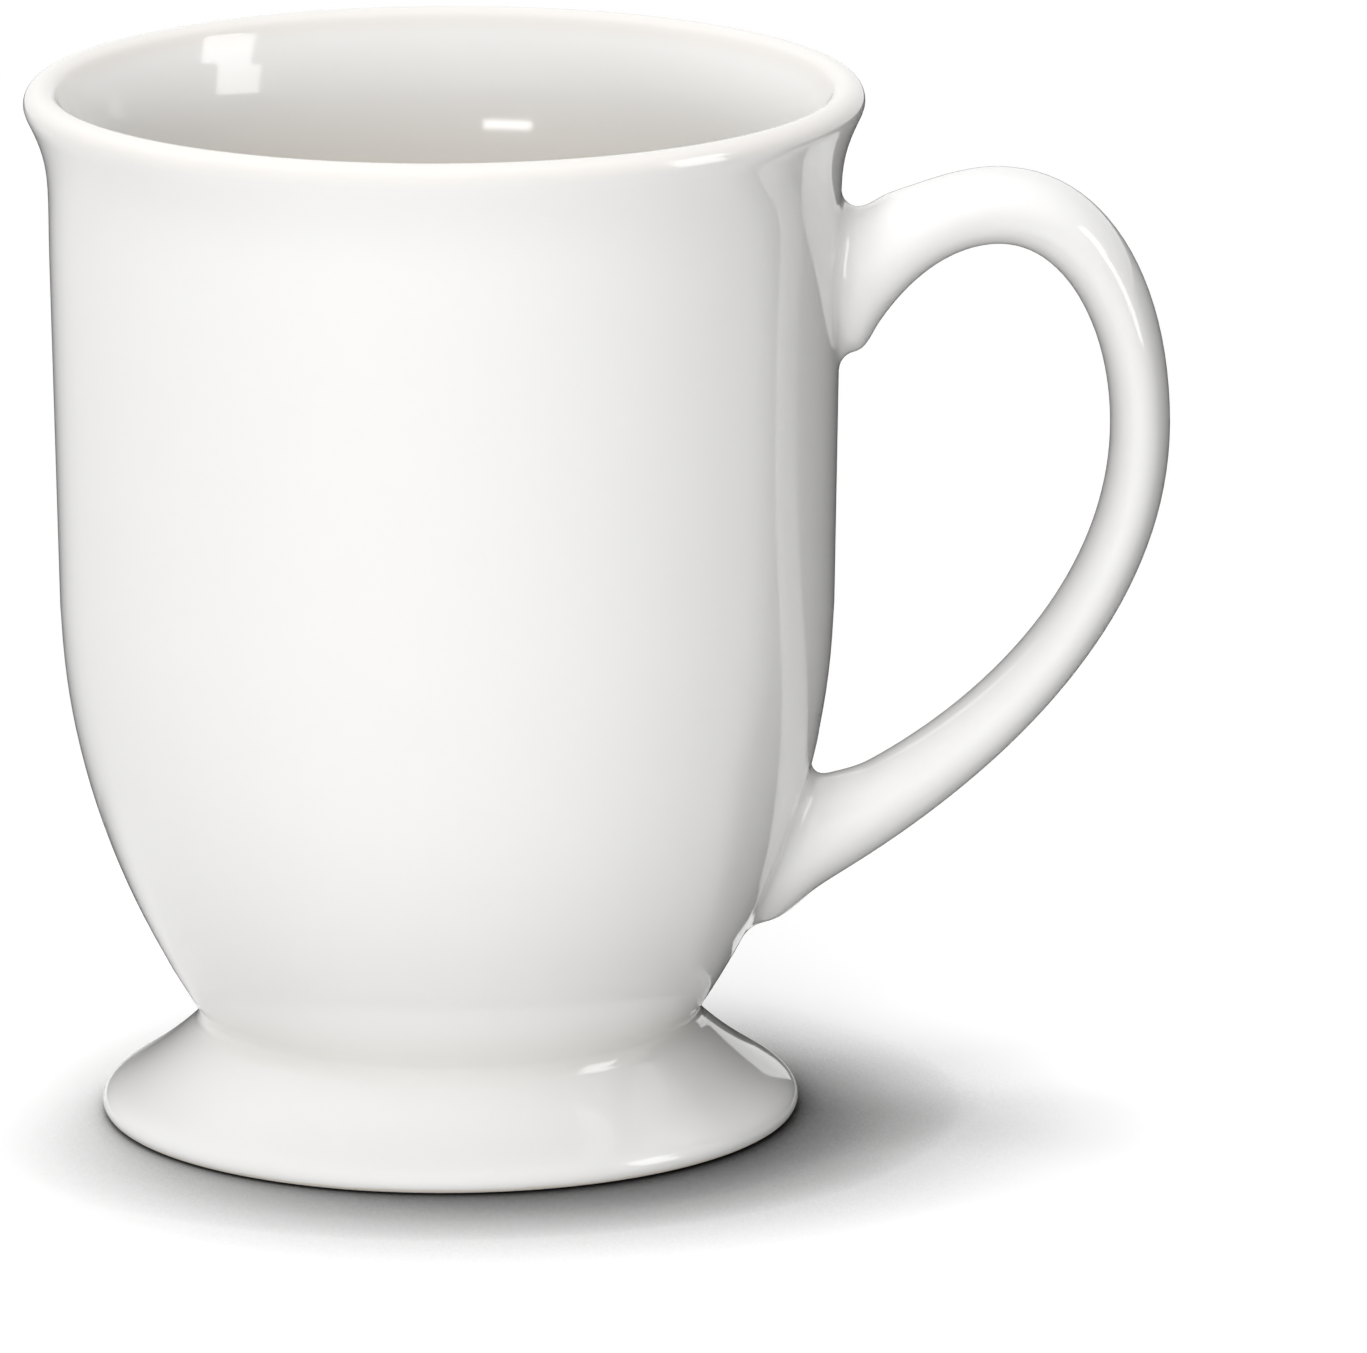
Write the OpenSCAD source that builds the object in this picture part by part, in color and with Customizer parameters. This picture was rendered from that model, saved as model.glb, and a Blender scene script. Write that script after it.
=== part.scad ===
// Footed mug: a tall bowl with a flared rim, a narrow waist, a spreading hollow foot
// and one big loop handle. It is fired as a single piece of glazed ceramic.
// The mug stands on z = 0 with its axis on Z, and the handle points along +X.

/* [Overall] */
// Height of the mug over the rim
mug_height = 127; // [115:1:145]
// Thickness of the bowl's wall
wall_thickness = 4.2; // [3.4:0.1:5.5]

/* [Rim] */
// Diameter over the round lip
rim_diameter = 101.4; // [99:0.2:108]
// Thickness of the round lip
lip_thickness = 4.2; // [3:0.1:5]
// Angle by which the rim leans outwards
rim_lean = 27; // [15:1:35]
// Height of the flare below the rim
flare_height = 21.5; // [16:0.5:26]

/* [Bowl] */
// Diameter of the bowl's side where the flare begins
side_top_diameter = 95.4; // [92:0.2:98]
// Diameter of the bowl's side where it starts to curve in
side_bottom_diameter = 93.8; // [90:0.2:97]
// Height at which the bowl starts to curve in
side_bottom_height = 63; // [56:0.5:70]
// Angle by which the bowl leans outwards above the waist
bowl_lean = 33.5; // [25:0.5:40]
// Height of the floor inside the bowl
floor_height = 17.5; // [16.5:0.5:20]
// Radius of the floor's flat middle
floor_flat_radius = 14; // [6:1:20]

/* [Waist] */
// Diameter of the waist
waist_diameter = 61.4; // [56:0.2:66]
// Height of the waist's narrowest place
waist_height = 12.3; // [11.5:0.1:14]
// Radius of the hollow round the waist
waist_fillet = 2.8; // [1.5:0.1:4]

/* [Foot] */
// Diameter over the foot
foot_diameter = 85; // [80:0.5:92]
// Radius of the foot's lower edge
foot_edge_radius = 1.2; // [0.8:0.1:2]
// Angle by which the foot leaves the waist, from the vertical
foot_lean = 46; // [40:1:55]
// Width of the bare ring that the mug stands on
ring_width = 3.8; // [2.5:0.1:5]
// Depth of the hollow under the foot
hollow_depth = 11.5; // [9:0.5:12]
// Radius of the flat middle of that hollow
hollow_flat_radius = 17; // [10:1:20]

/* [Handle] */
// Distance from the mug's axis to the handle's outermost side
handle_reach = 87.6; // [80:0.1:95]
// Height of the handle's outermost place
handle_bow_height = 84.6; // [78:0.1:90]
// Height of the handle's top
handle_peak_height = 116.2; // [113.5:0.1:118]
// Distance from the mug's axis to the handle's top
handle_peak_reach = 66.9; // [62:0.1:72]
// Width of the handle, from side to side
handle_width = 15; // [12:0.1:17]
// Thickness of the handle at its outermost place
handle_thickness = 7.3; // [6:0.1:9]
// Thickness of the handle at its top
handle_peak_thickness = 9.1; // [7:0.1:10]

/* [Handle roots] */
// Height of the middle of the upper root
upper_root_height = 102.6; // [101:0.1:104]
// Length of the upper root up the wall
upper_root_length = 17.6; // [15:0.1:19]
// Height of the middle of the lower root
lower_root_height = 31.9; // [30:0.1:36]
// Length of the lower root up the wall
lower_root_length = 18.2; // [15:0.1:20]
// Width of both roots
root_width = 15.4; // [13:0.1:17]
// Radius of the hollow where a root meets the wall
root_fillet = 2.2; // [1.2:0.1:3]

/* [Hidden] */

// Fineness of the mug's turned surface and of its curves
turn_steps = 128;
curve_steps = 14;
arc_steps = 8;
// Fineness of the handle, round its section and along each stretch of it
section_steps = 28;
neck_steps = 4;
arch_steps = 10;
sweep_steps = 15;
fillet_steps = 5;
// Number of sections over which a root's shape goes over into the handle's
blend_steps = 7;

// Lengths of the tangents that shape the body's free curves
foot_tangents = [9.5, 2.4];
bowl_tangents = [12, 21.5];
flare_tangents = [10, 7.2];
// Share of the bowl's curve, from the waist up, that is taken up by the rounding of the floor
floor_round_share = 0.27;
// Tangents of that rounding, as shares of the drop to the floor and of the way in over it
floor_round_tangents = [0.6, 0.55];
// Directions in which the hollow under the foot leaves the ring, and the tangents of its curve
hollow_rise_angle = 125;
hollow_tangents = [5, 7];

// The handle's two necks, each as the way from the root's edge out to the edge of the neck
upper_neck_outer = [3.9, 1.8];
upper_neck_inner = [2.6, 3.6];
lower_neck_outer = [6.7, 4.8];
lower_neck_inner = [5.6, 1.7];
// Directions of the handle's edges, seen from the side, at the roots and at the necks
upper_root_angles = [6, 22];
upper_neck_angles = [18, 57];
lower_neck_angles = [-149, -151];
lower_root_angles = [-176, -165];
// How much fuller than an even turn the outer edge is between the handle's top and its bow,
// first at the top and then at the bow
shoulder_fullness = [1.11, 1.04];
// How far the handle's ends reach into the wall, and how far its hollows dip below the surface
root_bury = wall_thickness / 2;
fillet_dip = 0.1;

lip_radius = lip_thickness / 2;
rim_radius = rim_diameter / 2;
foot_radius = foot_diameter / 2;
waist_radius = waist_diameter / 2;
side_top = [side_top_diameter / 2, mug_height - flare_height];
side_bottom = [side_bottom_diameter / 2, side_bottom_height];
lip_centre = [rim_radius - lip_radius, mug_height - lip_radius];
waist_centre = [waist_radius + waist_fillet, waist_height];

// The direction at an angle from the X axis
function heading(a) = [cos(a), sin(a)];
function unit(v) = v / norm(v);
// A vector turned left by a right angle
function left_of(v) = [-v[1], v[0]];

// A cubic curve, given by its start, the ends of its two tangents and its end
function curve_at(c, t) =
    pow(1 - t, 3) * c[0] + 3 * pow(1 - t, 2) * t * c[1] + 3 * (1 - t) * t * t * c[2] + pow(t, 3) * c[3];
function curve_way(c, t) =
    unit(pow(1 - t, 2) * (c[1] - c[0]) + 2 * (1 - t) * t * (c[2] - c[1]) + t * t * (c[3] - c[2]));
function curve(c, steps) = [for (i = [0:steps]) curve_at(c, i / steps)];
function arc(centre, radius, from, to, steps) =
    [for (i = [0:steps]) centre + radius * heading(from + (to - from) * i / steps)];
function without_first(points) = [for (i = [1:len(points) - 1]) points[i]];
function reversed(points) = [for (i = [len(points) - 1:-1:0]) points[i]];

// The body's outline, as half of a section: first the outside, from the ring up to the lip
side_way = unit(side_top - side_bottom);
rim_way = heading(90 - rim_lean);
bowl_way = heading(90 - bowl_lean);
foot_way = heading(foot_lean - 90);

waist_arc = arc(waist_centre, waist_fillet, 180 + foot_lean, 180 - bowl_lean, arc_steps);
foot_edge_top = [foot_radius, foot_edge_radius];
foot_curve = [
    foot_edge_top,
    foot_edge_top + [0, foot_tangents[1]],
    waist_arc[0] + foot_tangents[0] * foot_way,
    waist_arc[0]
];
bowl_start = waist_arc[arc_steps];
bowl_curve = [
    bowl_start,
    bowl_start + bowl_tangents[0] * bowl_way,
    side_bottom - bowl_tangents[1] * side_way,
    side_bottom
];
lip_outside = lip_centre + lip_radius * heading(-rim_lean);
flare_curve = [
    side_top,
    side_top + flare_tangents[0] * side_way,
    lip_outside - flare_tangents[1] * rim_way,
    lip_outside
];
lower_outside = concat(
    arc([foot_radius - foot_edge_radius, foot_edge_radius], foot_edge_radius, -90, 0, arc_steps),
    without_first(curve(foot_curve, curve_steps))
);
wall_outside = concat(
    without_first(waist_arc),
    without_first(curve(bowl_curve, 2 * curve_steps)),
    curve(flare_curve, curve_steps)
);

// Then the inside, from the lip down to the floor, one wall's thickness from the outside
side_inward = wall_thickness * left_of(side_way);
lip_inside = lip_centre - lip_radius * heading(-rim_lean);
inner_flare_curve = [
    side_top + side_inward,
    side_top + side_inward + flare_tangents[0] * side_way,
    lip_inside - flare_tangents[1] * rim_way,
    lip_inside
];
inner_bowl = [
    for (i = [0:2 * curve_steps])
        let (t = floor_round_share + (1 - floor_round_share) * i / (2 * curve_steps))
        curve_at(bowl_curve, t) + wall_thickness * left_of(curve_way(bowl_curve, t))
];
floor_edge = [floor_flat_radius, floor_height];
floor_drop = inner_bowl[0][1] - floor_height;
floor_round_curve = [
    inner_bowl[0],
    inner_bowl[0] - floor_round_tangents[0] * floor_drop * curve_way(bowl_curve, floor_round_share),
    floor_edge + [floor_round_tangents[1] * (inner_bowl[0][0] - floor_flat_radius), 0],
    floor_edge
];
inside = concat(
    reversed(curve(inner_flare_curve, curve_steps)),
    reversed(inner_bowl),
    without_first(curve(floor_round_curve, curve_steps))
);

// And last the hollow under the foot, from its middle out to the ring
ring_inner = [foot_radius - foot_edge_radius - ring_width, 0];
hollow_edge = [hollow_flat_radius, hollow_depth];
hollow_curve = [
    hollow_edge,
    hollow_edge + [hollow_tangents[1], 0],
    ring_inner + hollow_tangents[0] * heading(hollow_rise_angle),
    ring_inner
];

body_outline = concat(
    lower_outside,
    wall_outside,
    without_first(arc(lip_centre, lip_radius, -rim_lean, 180 - rim_lean, 2 * arc_steps)),
    without_first(inside),
    [[0, floor_height], [0, hollow_depth]],
    curve(hollow_curve, curve_steps)
);

// The handle runs between two edge curves in the plane y = 0, one along its outer side and
// one along its inner side. Each is a chain of nodes, [distance from the axis, height,
// direction], and a stretch between two nodes turns evenly from one direction to the next.
outside_by_height = [for (p = wall_outside) [p[1], p[0]]];
function wall_radius(z) = lookup(z, outside_by_height);
function wall_reach(y, z) = sqrt(pow(wall_radius(z), 2) - y * y);

function root_node(z, angle) = [wall_radius(z) + root_fillet, z, angle];
function neck_node(z, way, angle) = [wall_radius(z) + root_fillet + way[0], z + way[1], angle];

upper_root_ends = [upper_root_height + upper_root_length / 2, upper_root_height - upper_root_length / 2];
lower_root_ends = [lower_root_height - lower_root_length / 2, lower_root_height + lower_root_length / 2];

outer_nodes = [
    root_node(upper_root_ends[0], upper_root_angles[0]),
    neck_node(upper_root_ends[0], upper_neck_outer, upper_neck_angles[0]),
    [handle_peak_reach, handle_peak_height, 0],
    [handle_reach, handle_bow_height, -90],
    neck_node(lower_root_ends[0], lower_neck_outer, lower_neck_angles[0]),
    root_node(lower_root_ends[0], lower_root_angles[0])
];
inner_nodes = [
    root_node(upper_root_ends[1], upper_root_angles[1]),
    neck_node(upper_root_ends[1], upper_neck_inner, upper_neck_angles[1]),
    [handle_peak_reach, handle_peak_height - handle_peak_thickness, 0],
    [handle_reach - handle_thickness, handle_bow_height, -90],
    neck_node(lower_root_ends[1], lower_neck_inner, lower_neck_angles[1]),
    root_node(lower_root_ends[1], lower_root_angles[1])
];
stretch_steps = [neck_steps, arch_steps, arch_steps, sweep_steps, neck_steps];

function place(n) = [n[0], n[1]];
function tangent_share(turn) = 4 / 3 * tan(turn / 4) / sin(turn);
function stretch(a, b, fullness) =
    let (
        chord = place(b) - place(a),
        share = tangent_share(max(abs(b[2] - a[2]), 1))
    )
    [
        place(a),
        place(a) + fullness[0] * share * abs(chord * heading(a[2])) * heading(a[2]),
        place(b) - fullness[1] * share * abs(chord * heading(b[2])) * heading(b[2]),
        place(b)
    ];
function edge_points(nodes, fullness) = [
    for (s = [0:len(nodes) - 2])
        each [
            for (i = [(s == 0 ? 0 : 1):stretch_steps[s]])
                curve_at(stretch(nodes[s], nodes[s + 1], fullness[s]), i / stretch_steps[s])
        ]
];
even = [1, 1];
outer_edge = edge_points(outer_nodes, [even, even, shoulder_fullness, even, even]);
inner_edge = edge_points(inner_nodes, [even, even, even, even, even]);
last = len(outer_edge) - 1;

// Near a root the sections bend to the wall's roundness and take the root's width
section_angles = [for (j = [0:section_steps - 1]) 360 * j / section_steps];
function near_root(i) =
    let (way = min(i, last - i) / blend_steps)
    way >= 1 ? 0 : pow(cos(90 * way), 2);
function section_point(i, a) =
    let (
        near = near_root(i),
        middle = (outer_edge[i] + inner_edge[i]) / 2,
        half = (outer_edge[i] - inner_edge[i]) / 2,
        p = middle + cos(a) * half,
        y = sin(a) * (handle_width + (root_width - handle_width) * near) / 2,
        bend = wall_reach(y, p[1]) - wall_radius(p[1])
    )
    [p[0] + near * bend, y, p[1]];

// The hollow round a root: the root's oval grows as it comes down to the wall, along a
// quarter of a circle that ends just under the surface
function root_point(ends, a, depth, growth) =
    let (
        y = sin(a) * (root_width / 2 + growth),
        half = (ends[0] - ends[1]) / 2,
        z = (ends[0] + ends[1]) / 2 + cos(a) * (half + sign(half) * growth)
    )
    [wall_reach(y, z) + depth, y, z];
function root_rings(ends) = concat(
    [[for (a = section_angles) root_point(ends, a, -root_bury, root_fillet)]],
    [
        for (k = [0:fillet_steps])
            let (
                turn = 90 * k / fillet_steps,
                depth = root_fillet * (1 - cos(turn)) - fillet_dip * (1 - k / fillet_steps),
                growth = root_fillet * (1 - sin(turn))
            )
            [for (a = section_angles) root_point(ends, a, depth, growth)]
    ]
);
handle_rings = concat(
    root_rings(upper_root_ends),
    [for (i = [1:last - 1]) [for (a = section_angles) section_point(i, a)]],
    reversed(root_rings(lower_root_ends))
);

// A closed skin over a row of rings, with a fan of triangles over each end
module skin(rings, start_point, end_point) {
    n = len(rings[0]);
    rows = len(rings);
    sides = [
        for (r = [0:rows - 2], j = [0:n - 1])
            let (a = r * n + j, b = r * n + (j + 1) % n)
            each [[a, b, a + n], [b, b + n, a + n]]
    ];
    start_fan = [for (j = [0:n - 1]) [(j + 1) % n, j, rows * n]];
    end_fan = [
        for (j = [0:n - 1])
            [(rows - 1) * n + j, (rows - 1) * n + (j + 1) % n, rows * n + 1]
    ];
    polyhedron(
        points = concat([for (ring = rings) each ring], [start_point, end_point]),
        faces = concat(sides, start_fan, end_fan)
    );
}

module turned_body() {
    rotate_extrude($fn = turn_steps) polygon(body_outline);
}

module loop_handle() {
    skin(
        handle_rings,
        [wall_radius(upper_root_height) - root_bury, 0, upper_root_height],
        [wall_radius(lower_root_height) - root_bury, 0, lower_root_height]
    );
}

module mug() {
    color([0.96, 0.95, 0.93])
    union() {
        turned_body();
        loop_handle();
    }
}

mug();
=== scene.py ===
import math

import bmesh
import bpy
from mathutils import Matrix, Vector


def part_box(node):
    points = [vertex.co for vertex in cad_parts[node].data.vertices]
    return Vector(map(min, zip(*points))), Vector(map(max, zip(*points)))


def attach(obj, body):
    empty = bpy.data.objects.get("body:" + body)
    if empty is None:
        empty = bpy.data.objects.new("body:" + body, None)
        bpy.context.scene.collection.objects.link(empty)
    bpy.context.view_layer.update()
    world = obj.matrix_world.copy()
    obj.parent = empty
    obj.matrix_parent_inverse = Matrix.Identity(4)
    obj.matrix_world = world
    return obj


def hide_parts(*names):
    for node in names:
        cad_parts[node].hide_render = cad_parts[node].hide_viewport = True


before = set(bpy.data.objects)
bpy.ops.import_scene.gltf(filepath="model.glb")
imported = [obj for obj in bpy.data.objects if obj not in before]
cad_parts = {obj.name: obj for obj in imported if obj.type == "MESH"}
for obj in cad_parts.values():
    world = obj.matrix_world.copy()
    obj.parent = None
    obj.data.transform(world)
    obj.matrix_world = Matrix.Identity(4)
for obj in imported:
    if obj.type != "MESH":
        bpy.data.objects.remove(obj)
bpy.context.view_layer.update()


# The view. A long lens looks a little down at the mug from the front, as the photograph does,
# with the handle on the right.
eye = Vector((0, -1.8, 0.4849))
look_down = math.radians(13.479)
look_right = math.radians(0.91)
camera_roll = math.radians(-0.148)
picture_width = 1367
focal_length_in_pixels = 15250
sensor_width = 36

bpy.ops.object.camera_add(location=eye)
camera = bpy.context.object
camera.name = "camera"
camera.rotation_euler = (
    Matrix.Rotation(-look_right, 3, "Z")
    @ Matrix.Rotation(math.pi / 2 - look_down, 3, "X")
    @ Matrix.Rotation(camera_roll, 3, "Z")
).to_euler()
camera.data.sensor_width = sensor_width
camera.data.lens = focal_length_in_pixels / picture_width * sensor_width
bpy.context.scene.camera = camera
bpy.context.scene.view_settings.view_transform = "Standard"


# The body. Bowl, waist and foot are one wall of white clay, shaped on a wheel against a template
# that cuts its outline. So the outline is drawn here as one line, from the middle of the hollow
# under the foot round the lip to the middle of the floor inside, and is then spun round the axis.
cad_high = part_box("mug")[1]
mug_height = cad_high.z
rim_radius = cad_high.y
wall_thickness = 0.0042
lip_radius = 0.0021
rim_lean = math.radians(27)
side_top = Vector((0.0477, mug_height - 0.0215))
side_bottom = Vector((0.0469, 0.063))
bowl_lean = math.radians(33.5)
waist_radius = 0.0307
waist_height = 0.0123
waist_fillet = 0.0028
foot_radius = 0.0425
foot_edge_radius = 0.0012
foot_lean = math.radians(46)
ring_width = 0.0038
hollow_depth = 0.0115
hollow_flat_radius = 0.017
floor_height = 0.0175
floor_flat_radius = 0.014
floor_round_share = 0.27

# How far each free curve runs straight on from its lower and its upper end
foot_pulls = (0.0024, 0.0095)
bowl_pulls = (0.012, 0.0215)
flare_pulls = (0.01, 0.0072)
hollow_pulls = (0.005, 0.007)
hollow_rise = math.radians(125)
floor_round_pulls = (0.6, 0.55)

# How finely the outline is stepped, and the steps round the mug
foot_steps = 10
foot_edge_steps = 5
waist_steps = 8
lip_steps = 14
inner_flare_steps = 7
inner_side_steps = 6
inner_bowl_steps = 12
floor_round_steps = 8
hollow_steps = 12
spin_steps = 96
radius_halvings = 24


def heading(turn):
    """The direction at an angle from level, in the outline's plane."""
    return Vector((math.cos(turn), math.sin(turn)))


def left_of(way):
    return Vector((-way.y, way.x))


def curve_point(pulls, share):
    """A place on the cubic curve that starts at the first point and ends at the last."""
    start, start_pull, end_pull, end = pulls
    rest = 1 - share
    return (
        rest**3 * start
        + 3 * rest**2 * share * start_pull
        + 3 * rest * share**2 * end_pull
        + share**3 * end
    )


def curve_way(pulls, share):
    start, start_pull, end_pull, end = pulls
    rest = 1 - share
    way = (
        rest**2 * (start_pull - start)
        + 2 * rest * share * (end_pull - start_pull)
        + share**2 * (end - end_pull)
    )
    return way.normalized()


def along_curve(pulls, steps):
    return [curve_point(pulls, step / steps) for step in range(steps + 1)]


def along_arc(centre, radius, start, end, steps):
    turns = [start + (end - start) * step / steps for step in range(steps + 1)]
    return [centre + radius * heading(turn) for turn in turns]


side_way = (side_top - side_bottom).normalized()
rim_way = heading(math.pi / 2 - rim_lean)
bowl_way = heading(math.pi / 2 - bowl_lean)
foot_way = heading(foot_lean - math.pi / 2)
lip_centre = Vector((rim_radius - lip_radius, mug_height - lip_radius))
lip_outside = lip_centre + lip_radius * heading(-rim_lean)
lip_inside = lip_centre - lip_radius * heading(-rim_lean)

waist_hollow = along_arc(
    Vector((waist_radius + waist_fillet, waist_height)),
    waist_fillet,
    math.pi + foot_lean,
    math.pi - bowl_lean,
    waist_steps,
)
foot_edge_top = Vector((foot_radius, foot_edge_radius))
foot_curve = [
    foot_edge_top,
    foot_edge_top + Vector((0, foot_pulls[0])),
    waist_hollow[0] + foot_pulls[1] * foot_way,
    waist_hollow[0],
]
bowl_curve = [
    waist_hollow[-1],
    waist_hollow[-1] + bowl_pulls[0] * bowl_way,
    side_bottom - bowl_pulls[1] * side_way,
    side_bottom,
]
flare_curve = [
    side_top,
    side_top + flare_pulls[0] * side_way,
    lip_outside - flare_pulls[1] * rim_way,
    lip_outside,
]


def wall_radius(height):
    """How far the outside of the wall stands from the axis, from the waist up to the lip."""
    if side_bottom.y <= height <= side_top.y:
        share = (height - side_bottom.y) / (side_top.y - side_bottom.y)
        return side_bottom.x + share * (side_top.x - side_bottom.x)
    pulls = bowl_curve if height < side_bottom.y else flare_curve
    below, above = 0.0, 1.0
    for _ in range(radius_halvings):
        share = (below + above) / 2
        if curve_point(pulls, share).y < height:
            below = share
        else:
            above = share
    return curve_point(pulls, share).x


# The handle's roots need an opening in the wall's faces, so the rows of faces are set to them. Each
# stretch of the wall ends at a height, and has as many rows up to there.
upper_root_height = 0.1026
upper_root_length = 0.0176
lower_root_height = 0.0319
lower_root_length = 0.0182
root_width = 0.0154
root_fillet = 0.0022
opening_margin = 0.0026
upper_opening_half = upper_root_length / 2 + root_fillet + opening_margin
lower_opening_half = lower_root_length / 2 + root_fillet + opening_margin
row_stretches = [
    (waist_hollow[-1].y, 0),
    (lower_root_height - lower_opening_half, 2),
    (lower_root_height + lower_opening_half, 6),
    (side_bottom.y, 4),
    (upper_root_height - upper_opening_half, 5),
    (upper_root_height + upper_opening_half, 8),
    (lip_outside.y, 4),
]
wall_outside = []
for (start, _), (end, steps) in zip(row_stretches, row_stretches[1:]):
    for step in range(1, steps + 1):
        height = start + (end - start) * step / steps
        wall_outside.append(Vector((wall_radius(height), height)))

inward = wall_thickness * left_of(side_way)
inner_flare = along_curve(
    [
        side_top + inward,
        side_top + inward + flare_pulls[0] * side_way,
        lip_inside - flare_pulls[1] * rim_way,
        lip_inside,
    ],
    inner_flare_steps,
)
inner_side = [
    side_bottom + (side_top - side_bottom) * step / inner_side_steps + inward
    for step in range(1, inner_side_steps)
]
inner_bowl = []
for step in range(inner_bowl_steps + 1):
    share = floor_round_share + (1 - floor_round_share) * step / inner_bowl_steps
    inner_bowl.append(
        curve_point(bowl_curve, share) + wall_thickness * left_of(curve_way(bowl_curve, share))
    )
floor_drop = inner_bowl[0].y - floor_height
floor_edge = Vector((floor_flat_radius, floor_height))
floor_round = along_curve(
    [
        inner_bowl[0],
        inner_bowl[0] - floor_round_pulls[0] * floor_drop * curve_way(bowl_curve, floor_round_share),
        floor_edge + Vector((floor_round_pulls[1] * (inner_bowl[0].x - floor_flat_radius), 0)),
        floor_edge,
    ],
    floor_round_steps,
)
ring_inner = Vector((foot_radius - foot_edge_radius - ring_width, 0))
hollow_edge = Vector((hollow_flat_radius, hollow_depth))
hollow_curve = along_curve(
    [
        hollow_edge,
        hollow_edge + Vector((hollow_pulls[1], 0)),
        ring_inner + hollow_pulls[0] * heading(hollow_rise),
        ring_inner,
    ],
    hollow_steps,
)
middle_gap = 0.0025
ring_edge_gap = 0.0004
outline = (
    [hollow_edge - Vector((middle_gap, 0))]
    + hollow_curve
    + [ring_inner + Vector((ring_edge_gap, 0)), ring_inner + Vector((ring_width / 2, 0))]
    + along_arc(
        Vector((foot_radius - foot_edge_radius, foot_edge_radius)),
        foot_edge_radius,
        -math.pi / 2,
        0,
        foot_edge_steps,
    )
    + along_curve(foot_curve, foot_steps)[1:]
    + waist_hollow[1:]
    + wall_outside
    + along_arc(lip_centre, lip_radius, -rim_lean, math.pi - rim_lean, lip_steps)[1:]
    + inner_flare[-2::-1]
    + inner_side[::-1]
    + inner_bowl[::-1]
    + floor_round[1:]
    + [floor_edge - Vector((middle_gap, 0))]
)

# A small plane is merged to one corner, and the outline is extruded from that. Where the spin
# ends on its start, corners closer than the seam's gap are merged.
start_size = 0.001
seam_gap = 1e-6
bpy.ops.object.select_all(action="DESELECT")
bpy.ops.mesh.primitive_plane_add(size=start_size)
mug = bpy.context.object
mug.name = "glazed_mug"
mug.data.name = "glazed_mug"
bpy.ops.object.mode_set(mode="EDIT")
bpy.ops.mesh.merge(type="CENTER")
bpy.ops.transform.translate(value=(outline[0].x, 0, outline[0].y))
for here, there in zip(outline, outline[1:]):
    step = there - here
    bpy.ops.mesh.extrude_vertices_move(TRANSFORM_OT_translate={"value": (step.x, 0, step.y)})
bpy.ops.mesh.select_all(action="SELECT")
bpy.ops.mesh.spin(steps=spin_steps, angle=2 * math.pi, center=(0, 0, 0), axis=(0, 0, 1))
bpy.ops.mesh.select_all(action="SELECT")
bpy.ops.mesh.remove_doubles(threshold=seam_gap)


def select_corners(wanted):
    """Selects the corners of the mug's mesh for which a rule holds, and the edges between."""
    bpy.ops.mesh.select_mode(type="VERT")
    bpy.ops.mesh.select_all(action="DESELECT")
    shape = bmesh.from_edit_mesh(mug.data)
    for vert in shape.verts:
        vert.select = wanted(vert)
    shape.select_flush_mode()
    bmesh.update_edit_mesh(mug.data)


# The flat middles of the floor and of the hollow are filled with a grid, so no faces meet there
same_place = 1e-5
for middle in (outline[0], outline[-1]):
    select_corners(
        lambda vert: abs(vert.co.z - middle.y) < same_place
        and math.hypot(vert.co.x, vert.co.y) < middle.x + same_place
    )
    bpy.ops.mesh.fill_grid(span=spin_steps // 4)


# The handle. It is cast apart from the bowl, as a loop that is a little wider than thick, and is
# stuck on with slip while both are damp. The slip is smoothed into a small hollow all round both
# roots, and the glaze then runs over bowl and handle as one skin.
handle_reach = cad_high.x
handle_bow_height = 0.0846
handle_peak = Vector((0.0669, 0.1162))
handle_peak_thickness = 0.0091
handle_thickness = 0.0073
handle_width = 0.015
shoulder_fullness = (1.11, 1.04)
even = (1, 1)

# Where each edge's neck ends, seen from the root's edge, and the edge's direction in degrees at
# its six places, from the upper root to the lower one. A stretch between two places is taken to
# turn by the least turn or more.
outer_upper_neck = Vector((0.0039, 0.0018))
outer_lower_neck = Vector((0.0067, 0.0048))
outer_turns = [6, 18, 0, -90, -149, -176]
inner_upper_neck = Vector((0.0026, 0.0036))
inner_lower_neck = Vector((0.0056, 0.0017))
inner_turns = [22, 57, 0, -90, -151, -165]
least_turn = math.radians(1)

# How finely the handle is stepped, and how many columns of the wall's faces each opening takes
# to either side
ring_corners = 32
neck_steps = 5
arch_steps = 12
sweep_steps = 18
fillet_steps = 4
neck_rings = 8
upper_opening_columns = 4
lower_opening_columns = 5


def wall_reach(y, z):
    """How far the outside of the wall is from the plane x = 0, beside the handle's middle."""
    return math.sqrt(wall_radius(z) ** 2 - y**2)


def edge_nodes(upper_end, upper_neck, peak, bow, lower_neck, lower_end, turns):
    """The places that one edge of the handle runs through, seen from the side, each with its
    direction. The necks are given as the way out from the root's edge."""
    upper = Vector((wall_radius(upper_end) + root_fillet, upper_end))
    lower = Vector((wall_radius(lower_end) + root_fillet, lower_end))
    places = [upper, upper + upper_neck, peak, bow, lower + lower_neck, lower]
    return list(zip(places, [math.radians(turn) for turn in turns]))


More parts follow.
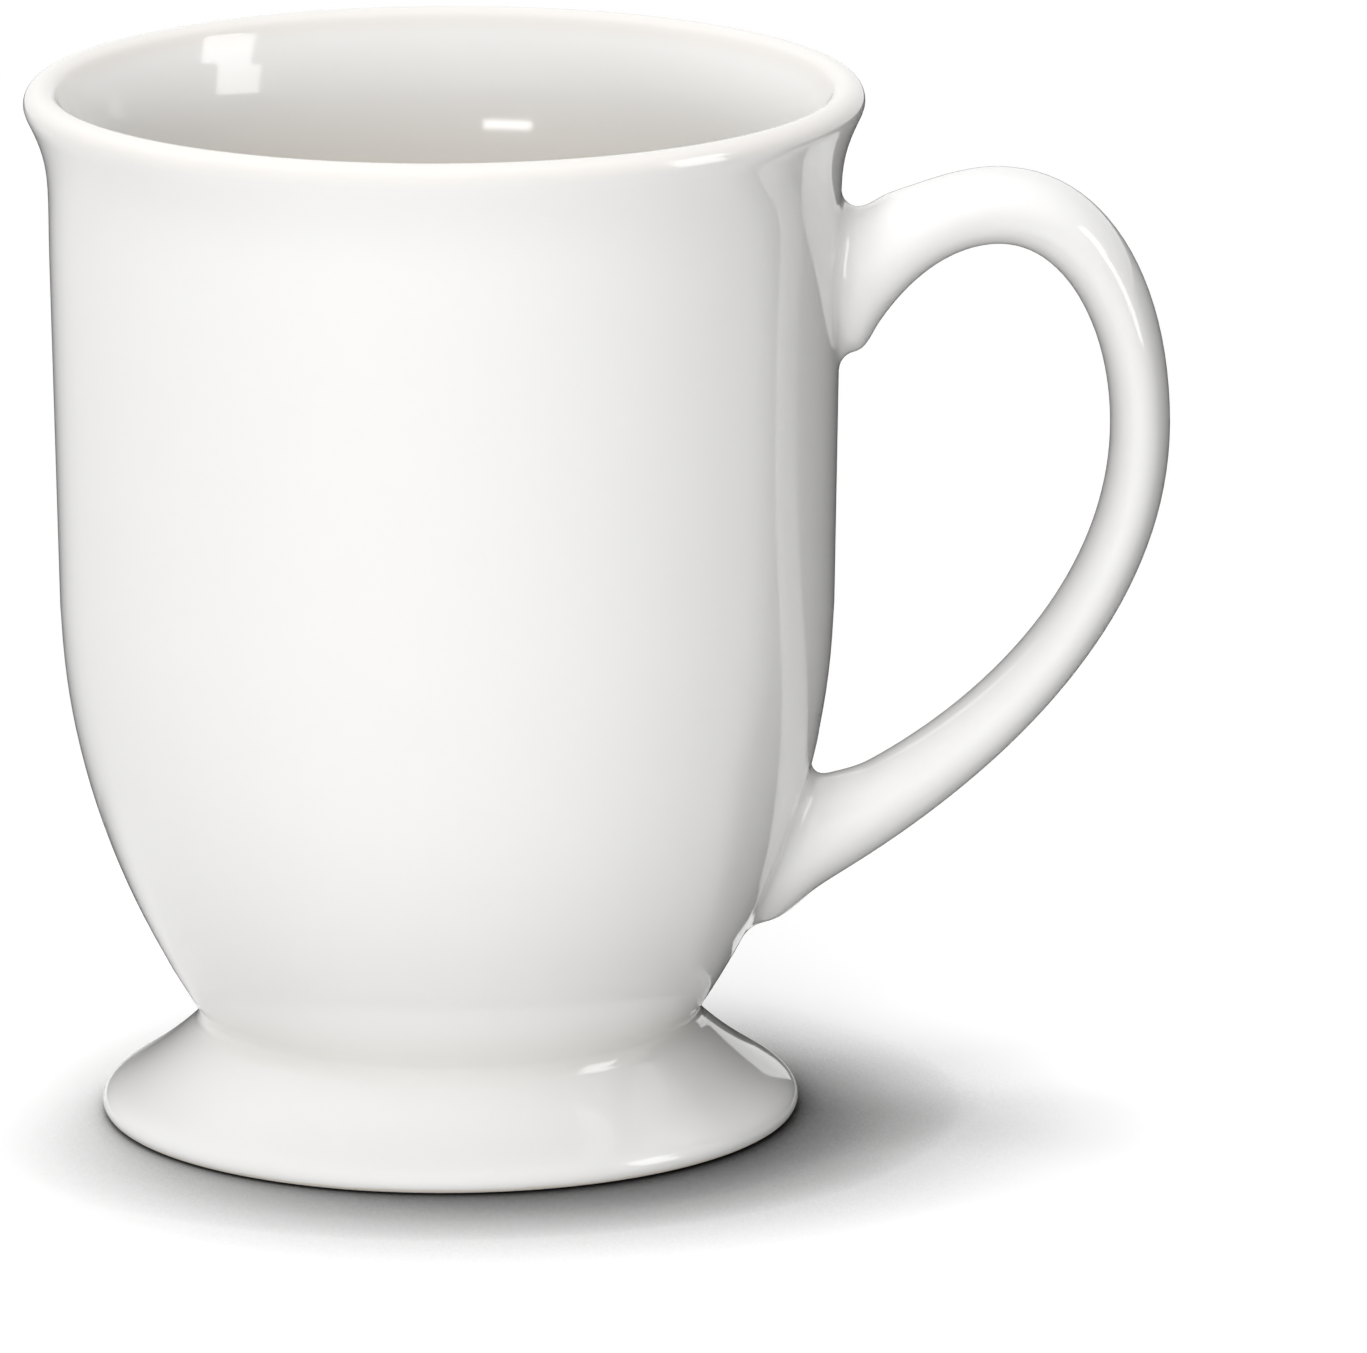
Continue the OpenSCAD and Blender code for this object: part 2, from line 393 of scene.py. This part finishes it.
def edge_line(nodes, shoulder):
    """The edge itself: each stretch between two places turns evenly from one direction to the
    next, and the shoulder, from the top to the bow, may be a little fuller than that."""
    line = [nodes[0][0]]
    stretch_steps = [neck_steps, arch_steps, arch_steps, sweep_steps, neck_steps]
    fullness = [even, even, shoulder, even, even]
    for (start, start_turn), (end, end_turn), steps, full in zip(
        nodes, nodes[1:], stretch_steps, fullness
    ):
        turn = max(abs(end_turn - start_turn), least_turn)
        # The pull that makes the stretch a round arc, as a share of its chord along the edge
        pull = 4 / 3 * math.tan(turn / 4) / math.sin(turn)
        start_way, end_way = heading(start_turn), heading(end_turn)
        chord = end - start
        pulls = [
            start,
            start + full[0] * pull * abs(chord.dot(start_way)) * start_way,
            end - full[1] * pull * abs(chord.dot(end_way)) * end_way,
            end,
        ]
        line += along_curve(pulls, steps)[1:]
    return line


outer_line = edge_line(
    edge_nodes(
        upper_root_height + upper_root_length / 2,
        outer_upper_neck,
        handle_peak,
        Vector((handle_reach, handle_bow_height)),
        outer_lower_neck,
        lower_root_height - lower_root_length / 2,
        outer_turns,
    ),
    shoulder_fullness,
)
inner_line = edge_line(
    edge_nodes(
        upper_root_height - upper_root_length / 2,
        inner_upper_neck,
        handle_peak - Vector((0, handle_peak_thickness)),
        Vector((handle_reach - handle_thickness, handle_bow_height)),
        inner_lower_neck,
        lower_root_height + lower_root_length / 2,
        inner_turns,
    ),
    even,
)
ring_turns = [2 * math.pi * step / ring_corners for step in range(ring_corners)]


def handle_ring(number):
    """One section of the handle. Near a root it bends to the wall's roundness and takes the
    root's width."""
    outer, inner = outer_line[number], inner_line[number]
    from_root = min(number, len(outer_line) - 1 - number) / neck_rings
    near = math.cos(math.pi / 2 * min(from_root, 1)) ** 2
    places = []
    for turn in ring_turns:
        spot = (outer + inner) / 2 + math.cos(turn) * (outer - inner) / 2
        y = math.sin(turn) * (handle_width + (root_width - handle_width) * near) / 2
        bend = wall_reach(y, spot.y) - wall_radius(spot.y) if near > 0 else 0
        places.append(Vector((spot.x + near * bend, y, spot.y)))
    return places


def root_ring(height, length, up, turn_in):
    """A ring of the hollow round a root, from 0, flat on the wall, to a quarter turn, where it
    points out along the handle. The ring starts at the top of the upper root, where up is 1,
    and at the bottom of the lower one, where it is -1."""
    depth = root_fillet * (1 - math.cos(turn_in))
    growth = root_fillet * (1 - math.sin(turn_in))
    places = []
    for turn in ring_turns:
        y = math.sin(turn) * (root_width / 2 + growth)
        z = height + up * math.cos(turn) * (length / 2 + growth)
        places.append(Vector((wall_reach(y, z) + depth, y, z)))
    return places


def open_wall(height, half_height, half_columns, up):
    """Takes out the wall's faces where a root goes, selects the edge of the opening and gives
    its corners in order."""
    half_turn = half_columns * 2 * math.pi / spin_steps
    bpy.ops.mesh.select_mode(type="FACE")
    bpy.ops.mesh.select_all(action="DESELECT")
    shape = bmesh.from_edit_mesh(mug.data)
    for face in shape.faces:
        middle = face.calc_center_median()
        reach = math.hypot(middle.x, middle.y)
        face.select = (
            abs(middle.z - height) < half_height
            and middle.x > 0
            and abs(math.atan2(middle.y, middle.x)) < half_turn
            and abs(reach - wall_radius(middle.z)) < wall_thickness / 2
        )
    bmesh.update_edit_mesh(mug.data)
    bpy.ops.mesh.delete(type="FACE")
    select_corners(
        lambda vert: vert.is_boundary and abs(vert.co.z - height) < half_height + same_place
    )

    def turn_from_start(corner):
        across = math.atan2(corner.y, corner.x) / half_turn
        along = up * (corner.z - height) / half_height
        return (math.atan2(across, along) + same_place) % (2 * math.pi)

    shape = bmesh.from_edit_mesh(mug.data)
    return sorted((vert.co.copy() for vert in shape.verts if vert.select), key=turn_from_start)


def draw_out(ring, places):
    """Extrudes the selected ring, whose corners are given in order, and moves each new corner to
    its place."""
    bpy.ops.mesh.extrude_region_move()
    shape = bmesh.from_edit_mesh(mug.data)
    for vert in [vert for vert in shape.verts if vert.select]:
        nearest = min(range(ring_corners), key=lambda number: (ring[number] - vert.co).length)
        vert.co = places[nearest]
    bmesh.update_edit_mesh(mug.data)
    return places


def draw_root(height, length, half_height, half_columns, up):
    """Opens the wall at a root and draws its hollow out to where the handle begins."""
    edge = open_wall(height, half_height, half_columns, up)
    foot_of_hollow = root_ring(height, length, up, 0)
    halfway = [(corner + place) / 2 for corner, place in zip(edge, foot_of_hollow)]
    halfway = [Vector((wall_reach(spot.y, spot.z), spot.y, spot.z)) for spot in halfway]
    ring = draw_out(edge, halfway)
    for step in range(fillet_steps + 1):
        ring = draw_out(ring, root_ring(height, length, up, math.pi / 2 * step / fillet_steps))
    return ring


lower_ring = draw_root(
    lower_root_height, lower_root_length, lower_opening_half, lower_opening_columns, -1
)
ring = draw_root(
    upper_root_height, upper_root_length, upper_opening_half, upper_opening_columns, 1
)
for number in range(1, len(outer_line) - 1):
    ring = draw_out(ring, handle_ring(number))
select_corners(
    lambda vert: any((vert.co - end).length < same_place for end in ring + lower_ring)
)
bpy.ops.mesh.bridge_edge_loops()
bpy.ops.mesh.select_all(action="SELECT")
bpy.ops.mesh.normals_make_consistent(inside=False)
bpy.ops.object.mode_set(mode="OBJECT")

# The damp clay is sponged smooth, and the wall is trued up on the wheel
bpy.ops.object.modifier_add(type="SUBSURF")
sponge = mug.modifiers[-1]
sponge.levels = 1
sponge.render_levels = 1
bpy.ops.object.modifier_apply(modifier=sponge.name)
trueing_reach = 0.00006
for vert in mug.data.vertices:
    if waist_hollow[-1].y < vert.co.z < lip_outside.y:
        reach = math.hypot(vert.co.x, vert.co.y)
        true_reach = wall_radius(vert.co.z)
        if abs(reach - true_reach) < trueing_reach:
            vert.co.x *= true_reach / reach
            vert.co.y *= true_reach / reach
bpy.ops.object.shade_smooth()

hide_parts("mug")
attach(mug, "root")


# The glaze. A clear white glass is fired over the whole mug, apart from the ring that it stands on,
# which is wiped bare. It is glossy, lies a little uneven, gathers in the waist and thins over the lip.
# Deep inside the bowl it is painted darker and warmer: painted shade.
glaze_white = (0.86, 0.855, 0.845, 1)
pooled_white = (0.82, 0.80, 0.77, 1)
# Painted shade: the darker, warmer white deep inside the bowl
inside_shaded_white = (0.78, 0.735, 0.665, 1)
lip_white = (0.82, 0.795, 0.765, 1)
bare_clay = (0.74, 0.70, 0.64, 1)
glaze_gloss = 0.07
gloss_drift = 0.03
bare_roughness = 0.8

# The glaze's tone drifts a little all over, in soft spots. It pools in the waist, where it comes and
# goes between two heights each, and ends on the foot between two distances from the axis.
drift_size = 0.03
pool_drift = 0.16
pool_comes = (0.0095, 0.0122)
pool_goes = (0.0128, 0.019)
pool_ends = (0.0335, 0.0365)

# How far below the top the lip's thin glaze begins and is full
lip_thins = (0.0034, 0.001)

# The middle of the wall, which parts inside from outside: its reach grows with height up to the
# side. The painted shade inside the bowl begins at the floor and fades out towards the rim.
middle_reach = 0.0236
middle_growth = 0.412
middle_most = 0.0455
inside_fade = 0.001
floor_fade = (0.016, 0.0172)
inside_shade_fades = (0.097, 0.117)

# The bare ring: how high the glaze is wiped off, how much and over what length that line wanders,
# how soft it is, and how far from the axis the ring begins
glaze_line_height = 0.0005
glaze_line_drift = 0.0005
glaze_line_spots = 0.004
glaze_line_edge = 0.00025
ring_begins = (0.036, 0.0372)

# The relief: how high it is, and how large its spots are
wave_height = 0.000006
wave_size = 0.009
ripple_height = 0.0000012
ripple_size = 0.0016
grain_height = 0.00003
grain_size = 0.0004
glaze_ior = 1.5


class Shade:
    """A value in a material's nodes. A sum with it adds the Math nodes that work it out."""

    def __init__(self, tree, output=None):
        self.tree = tree
        self.output = output

    def node(self, kind, settings, inputs, output=0):
        """Adds a node of a kind, with its settings and the values or links of its sockets."""
        made = self.tree.nodes.new(kind)
        for name, value in settings.items():
            setattr(made, name, value)
        for name, value in inputs.items():
            if isinstance(value, Shade):
                self.tree.links.new(value.output, made.inputs[name])
            else:
                made.inputs[name].default_value = value
        return Shade(self.tree, made.outputs[output])

    def calculate(self, operation, first, second):
        return self.node("ShaderNodeMath", {"operation": operation}, {0: first, 1: second})

    def __add__(self, other):
        return self.calculate("ADD", self, other)

    def __radd__(self, other):
        return self.calculate("ADD", other, self)

    def __sub__(self, other):
        return self.calculate("SUBTRACT", self, other)

    def __rsub__(self, other):
        return self.calculate("SUBTRACT", other, self)

    def __mul__(self, other):
        return self.calculate("MULTIPLY", self, other)

    def __rmul__(self, other):
        return self.calculate("MULTIPLY", other, self)

    def between(self, start, end):
        """0 below the start and 1 above the end, with a smooth rise between them."""
        return self.node(
            "ShaderNodeMapRange",
            {"interpolation_type": "SMOOTHSTEP"},
            {"Value": self, "From Min": start, "From Max": end},
        )

    def noise(self, size, detail):
        """Soft spots of about a size, from 0 to 1, on this place."""
        return self.node("ShaderNodeTexNoise", {}, {"Vector": self, "Scale": 1 / size, "Detail": detail})

    def blend(self, first, second):
        """Goes from one colour to another as this value goes from 0 to 1."""
        return self.node(
            "ShaderNodeMix", {"data_type": "RGBA"}, {0: self, 6: first, 7: second}, output=2
        )


def new_material(name):
    material = bpy.data.materials.new(name)
    material.use_nodes = True
    tree = material.node_tree
    return material, tree, tree.nodes["Principled BSDF"]


glaze, tree, glass = new_material("warm_white_glaze")
sheet = Shade(tree)
place = sheet.node("ShaderNodeTexCoord", {}, {}, output="Object")
height = sheet.node("ShaderNodeSeparateXYZ", {}, {"Vector": place}, output="Z")
flat_place = sheet.node("ShaderNodeVectorMath", {"operation": "MULTIPLY"}, {0: place, 1: (1, 1, 0)})
reach = sheet.node("ShaderNodeVectorMath", {"operation": "LENGTH"}, {0: flat_place}, output="Value")

drift = place.noise(drift_size, 2) - 0.5
waist_pool = height.between(*pool_comes) * (1 - height.between(*pool_goes))
pool = waist_pool * (1 - reach.between(*pool_ends)) + pool_drift * drift
on_lip = height.between(mug_height - lip_thins[0], mug_height - lip_thins[1])
mid_wall = height.calculate("MINIMUM", middle_reach + middle_growth * height, middle_most)
inside = (mid_wall - reach).between(0, inside_fade) * height.between(*floor_fade)
# Painted shade: deep inside the bowl the glaze is painted darker and warmer, fading out below the rim
painted_shade_inside = inside * (1 - height.between(*inside_shade_fades))
glaze_line = glaze_line_height + glaze_line_drift * (place.noise(glaze_line_spots, 3) - 0.5)
wiped = 1 - height.between(glaze_line, glaze_line + glaze_line_edge)
bare = wiped * reach.between(*ring_begins)

colour = pool.blend(glaze_white, pooled_white)
colour = painted_shade_inside.blend(colour, inside_shaded_white)
colour = on_lip.blend(colour, lip_white)
colour = bare.blend(colour, bare_clay)
roughness = glaze_gloss + gloss_drift * drift + bare * (bare_roughness - glaze_gloss)
waves = wave_height * place.noise(wave_size, 1) + ripple_height * place.noise(ripple_size, 2)
grain = grain_height * place.noise(grain_size, 4)
relief = waves * (1 - bare) + grain * bare
surface = sheet.node("ShaderNodeBump", {}, {"Height": relief, "Distance": 1.0, "Strength": 1.0})
tree.links.new(colour.output, glass.inputs["Base Color"])
tree.links.new(roughness.output, glass.inputs["Roughness"])
tree.links.new(surface.output, glass.inputs["Normal"])
glass.inputs["IOR"].default_value = glaze_ior
mug.data.materials.append(glaze)


# The table and the light. The mug stands on a white table, and four softboxes light it: two in
# front, one on the left and one overhead. Near the foot the mug's shade is also painted into the
# table, and further out the table goes over into plain white.
mug_middle = Vector((0, 0, 0.06))
table_size = 8
table_drop = 0.00005
white_light = (1, 1, 1, 1)
black = (0, 0, 0, 1)

# What the table throws back on the mug: more from in front of it than from behind, with the change
# along one direction, between two distances
front_thrown_back = (0.8, 0.8, 0.8, 1)
back_thrown_back = (0.25, 0.25, 0.25, 1)
thrown_from = (0.1, -1, 0)
thrown_fades = (-0.12, 0.12)

# What is seen of the table: its white, and a little glow that lifts it. Both are darkened by a
# painted shadow, worked out from how near the mug is. Each part of the painted shadow has a reach,
# within which the mug hides the light, and a depth. The light is looked for behind on the left, so
# the painted shadow falls in front and on the right. Between the last two distances from the
# middle, the table goes over into plain white.
table_white = (0.99, 0.99, 0.99, 1)
table_lift = (0.2, 0.2, 0.2, 1)
shade_reaches = [(0.012, 1.2), (0.034, 1.8), (0.058, 0.7)]
shade_lean = (-0.8, 1.05, 1)
shade_samples = 6
table_fades = (0.06, 0.2)


def around(turn, reach, height):
    """A place round the mug, at a turn in degrees from the front towards the left."""
    way = heading(math.radians(-90 - turn))
    return Vector((way.x * reach, way.y * reach, height))


def add_softbox(name, place, aim, width, tall, power):
    """A rectangular lamp at a place, turned towards a point. It doesn't show in the glaze."""
    bpy.ops.object.light_add(type="AREA", location=place)
    lamp = bpy.context.object
    lamp.name = name
    lamp.rotation_euler = (Vector(aim) - Vector(place)).to_track_quat("-Z", "Y").to_euler()
    lamp.data.shape = "RECTANGLE"
    lamp.data.size = width
    lamp.data.size_y = tall
    lamp.data.energy = power
    lamp.visible_glossy = False


front_place = around(turn=15, reach=0.92, height=0.3)
high_front_place = around(turn=8, reach=0.5, height=0.95)
left_place = around(turn=120, reach=0.9, height=0.3)
overhead_place = Vector((0.08, 0.13, 1.05))
add_softbox("front_softbox", front_place, mug_middle, width=0.55, tall=0.55, power=3.9)
add_softbox("high_front_softbox", high_front_place, mug_middle, width=0.45, tall=0.45, power=2.8)
add_softbox("left_softbox", left_place, mug_middle, width=0.4, tall=0.25, power=2.4)
add_softbox("overhead_softbox", overhead_place, mug_middle, width=0.5, tall=0.5, power=4.6)


def rays_that_see(sheet):
    """1 for rays from the camera, in the glaze or through glass, and 0 for light on its way."""
    kinds = ["Is Camera Ray", "Is Glossy Ray", "Is Transmission Ray"]
    camera_ray, glossy_ray, clear_ray = [
        sheet.node("ShaderNodeLightPath", {}, {}, output=kind) for kind in kinds
    ]
    return camera_ray + glossy_ray + clear_ray


bpy.ops.mesh.primitive_plane_add(size=table_size, location=(0, 0, -table_drop))
table = bpy.context.object
table.name = "table"
white, tree, paint = new_material("table_white")
sheet = Shade(tree)
seen = rays_that_see(sheet)
place = sheet.node("ShaderNodeTexCoord", {}, {}, output="Object")
distance = sheet.node("ShaderNodeVectorMath", {"operation": "LENGTH"}, {0: place}, output="Value")
# The shade's node takes a direction only through a link
lean = sheet.node("ShaderNodeVectorMath", {"operation": "NORMALIZE"}, {0: shade_lean})


def open_share(reach, depth):
    """The share of the light that comes past the mug, for the painted shadow. Only what is within a
    reach hides it, and a greater depth makes the painted shadow darker."""
    openness = sheet.node(
        "ShaderNodeAmbientOcclusion",
        {"samples": shade_samples},
        {"Normal": lean, "Distance": reach},
        output="AO",
    )
    return openness.calculate("POWER", openness, depth)


# Painted shadow: darkens the table's colour and glow near the mug, on top of the lamps' own shadows
near_shade, middle_shade, far_shade = [open_share(*stretch) for stretch in shade_reaches]
painted_shadow = near_shade * middle_shade * far_shade
ahead = sheet.node(
    "ShaderNodeVectorMath", {"operation": "DOT_PRODUCT"}, {0: place, 1: thrown_from}, output="Value"
)
in_front = ahead.between(*thrown_fades)
back_thrower = sheet.node("ShaderNodeBsdfDiffuse", {}, {"Color": back_thrown_back})
front_thrower = sheet.node("ShaderNodeBsdfDiffuse", {}, {"Color": front_thrown_back})
thrower = sheet.node("ShaderNodeMixShader", {}, {0: in_front, 1: back_thrower, 2: front_thrower})
colour = painted_shadow.blend(black, table_white)
lift = painted_shadow.blend(black, table_lift)
tree.links.new(colour.output, paint.inputs["Base Color"])
tree.links.new(lift.output, paint.inputs["Emission Color"])
paint.inputs["Emission Strength"].default_value = 1
paint.inputs["Roughness"].default_value = 1
paint.inputs["Specular IOR Level"].default_value = 0
glow = sheet.node("ShaderNodeEmission", {}, {"Color": white_light, "Strength": 1.0})
far = distance.between(*table_fades)
shaded_table = Shade(tree, paint.outputs["BSDF"])
shown = sheet.node("ShaderNodeMixShader", {}, {0: far, 1: shaded_table, 2: glow})
mixed = sheet.node("ShaderNodeMixShader", {}, {0: seen, 1: thrower, 2: shown})
tree.links.new(mixed.output, tree.nodes["Material Output"].inputs["Surface"])
table.data.materials.append(white)


# The cards. The glaze is a mirror, and its dark edges and bright spots are painted reflections of
# cards round the mug: black cards and a small glowing white one behind it, a glowing window in two
# halves on the right, and a small glowing bar in the bowl that paints a glint. Nothing else shows
# them.
card_steps = 40
painted_window_glow = 5.8
window_bar_height = 0.36


def bent_card(name, near, far, turns, strength):
    """A card bent round the mug, from a near edge to a far one, each given by its reach and its
    height. It fades in and out between the turns. It shows only in the glaze, as a painted
    reflection, and neither lights nor shades anything."""
    start, full, still_full, end = turns
    bpy.ops.object.select_all(action="DESELECT")
    bpy.ops.mesh.primitive_plane_add(size=start_size)
    card = bpy.context.object
    card.name = name
    bpy.ops.object.mode_set(mode="EDIT")
    bpy.ops.mesh.merge(type="CENTER")
    bpy.ops.transform.translate(value=around(start, *near))
    step = around(start, *far) - around(start, *near)
    bpy.ops.mesh.extrude_vertices_move(TRANSFORM_OT_translate={"value": step})
    bpy.ops.mesh.select_all(action="SELECT")
    bpy.ops.mesh.spin(
        steps=card_steps, angle=math.radians(end - start), center=(0, 0, 0), axis=(0, 0, 1)
    )
    bpy.ops.object.mode_set(mode="OBJECT")
    material, tree, _ = new_material(name)
    sheet = Shade(tree)
    place = sheet.node("ShaderNodeTexCoord", {}, {}, output="Object")
    x = sheet.node("ShaderNodeSeparateXYZ", {}, {"Vector": place}, output="X")
    y = sheet.node("ShaderNodeSeparateXYZ", {}, {"Vector": place}, output="Y")
    turn = math.pi + sheet.node("ShaderNodeMath", {"operation": "ARCTAN2"}, {0: x, 1: y})
    solid = turn.between(math.radians(start), math.radians(full)) * (
        1 - turn.between(math.radians(still_full), math.radians(end))
    )
    clear = sheet.node("ShaderNodeBsdfTransparent", {}, {})
    glow = sheet.node("ShaderNodeEmission", {}, {"Color": white_light, "Strength": strength})
    mixed = sheet.node("ShaderNodeMixShader", {}, {0: solid, 1: clear, 2: glow})
    tree.links.new(mixed.output, tree.nodes["Material Output"].inputs["Surface"])
    card.data.materials.append(material)
    card.visible_camera = False
    card.visible_diffuse = False
    card.visible_transmission = False
    card.visible_shadow = False


# Painted reflections: black cards, seen only in the glaze, darken its edges
bent_card(
    "black_card_behind",
    near=(0.13, 0.001),
    far=(0.13, 0.112),
    turns=(114, 156, 262, 278),
    strength=0,
)
bent_card(
    "black_card_on_table",
    near=(0.05, 0.0008),
    far=(0.1299, 0.0008),
    turns=(114, 150, 262, 280),
    strength=0,
)
# Painted reflection: a glowing white card low behind the mug, seen only in the glaze
bent_card(
    "white_card_behind",
    near=(0.058, 0.003),
    far=(0.058, 0.0125),
    turns=(226, 227, 239, 240),
    strength=1,
)
# Painted glint: a glowing bar inside the bowl, seen only in the glaze; it is no lamp
bent_card(
    "painted_glint_in_the_bowl",
    near=(0.0428, 0.1022),
    far=(0.0428, 0.1058),
    turns=(18.5, 18.8, 41.7, 42),
    strength=12,
)
# Painted reflection of a window in two halves: glowing cards that light nothing
bent_card(
    "painted_window_below",
    near=(0.6, 0.1),
    far=(0.6, window_bar_height),
    turns=(280.5, 281, 297, 297.5),
    strength=painted_window_glow,
)
bent_card(
    "painted_window_above",
    near=(0.6, window_bar_height),
    far=(0.6, 0.54),
    turns=(273.5, 274, 293, 293.5),
    strength=painted_window_glow,
)


# The room. It is plain white where it is seen, and its light on the mug and the table is dim.
room_light = 0.29
world = bpy.data.worlds.new("studio")
bpy.context.scene.world = world
world.use_nodes = True
tree = world.node_tree
sheet = Shade(tree)
background = tree.nodes["Background"]
background.inputs["Color"].default_value = white_light
seen = rays_that_see(sheet)
room = seen + room_light * (1 - seen)
tree.links.new(room.output, background.inputs["Strength"])
